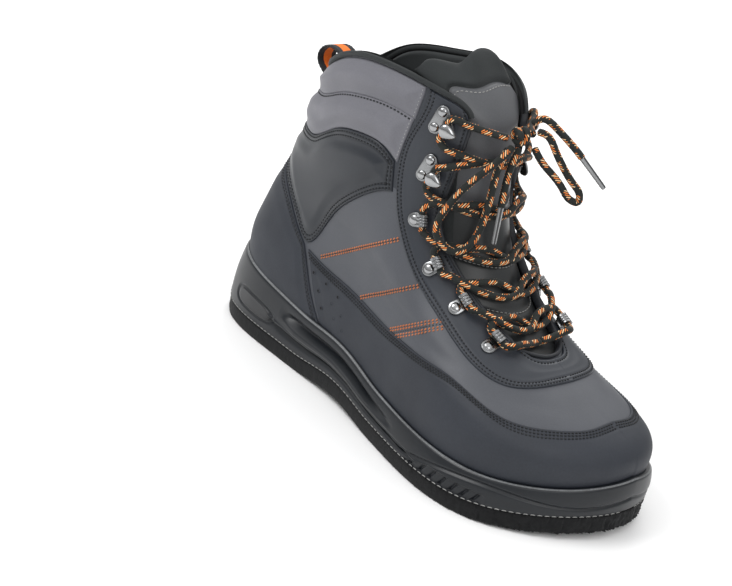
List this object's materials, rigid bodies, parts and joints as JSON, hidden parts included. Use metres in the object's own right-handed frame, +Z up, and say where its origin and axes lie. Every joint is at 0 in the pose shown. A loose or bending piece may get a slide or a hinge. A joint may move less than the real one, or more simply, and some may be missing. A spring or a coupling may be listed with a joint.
{
  "type": "wading boot",
  "caption": "Right ankle-high wading boot: felt sole, cup midsole, hollow laced upper with overlays, padded collar, tongue and heel loop.",
  "frame": {"origin": "on the ground plane under the heel, 40 mm ahead of the back of the heel, on the flat of the felt", "axes": "+X to the toe, +Y to the inner side of this right boot, +Z up"},
  "size_m": [0.317, 0.1228, 0.2145],
  "materials": {
    "aglet": "clear hard plastic tip",
    "eyestay": "smooth blue-black leather with folded edges",
    "felt": "dense black felt",
    "lace": "round braided dark lace with orange and cream flecks",
    "lining": "black neoprene-like lining",
    "nubuck": "matt black nubuck-like leather",
    "plate": "smooth rubber plate",
    "quarter": "mid grey synthetic with fine pores",
    "rubber": "charcoal moulded rubber",
    "smooth": "smooth padded dark grey leather",
    "steel": "bright nickelled steel"
  },
  "bodies": {
    "root": {"aglet_inner": "aglet", "aglet_outer": "aglet", "ankle_panel": "smooth", "bow_end_inner": "lace", "bow_end_outer": "lace", "bow_loop_inner": "lace", "bow_loop_outer": "lace", "bow_strand_inner": "lace", "bow_strand_outer": "lace", "collar_padding": "lining", "cuff_lower": "quarter", "cuff_upper": "quarter", "eyestay": "eyestay", "heel_counter": "nubuck", "heel_plate_inner": "plate", "heel_plate_outer": "plate", "insole": "lining", "lace_bar": "lace", "lace_crossing_1": "lace", "lace_crossing_2": "lace", "lace_crossing_3": "lace", "lace_crossing_4": "lace", "lace_crossing_5": "lace", "lace_hook_inner_5": "steel", "lace_hook_inner_6": "steel", "lace_hook_outer_5": "steel", "lace_hook_outer_6": "steel", "lace_knot": "lace", "lace_loop_inner_1": "steel", "lace_loop_inner_2": "steel", "lace_loop_inner_3": "steel", "lace_loop_inner_4": "steel", "lace_loop_outer_1": "steel", "lace_loop_outer_2": "steel", "lace_loop_outer_3": "steel", "lace_loop_outer_4": "steel", "midsole": "rubber", "mudguard": "nubuck", "outsole_felt": "felt", "pull_loop": "lining", "tongue": "lining", "upper": "quarter"}
  },
  "joints": []
}
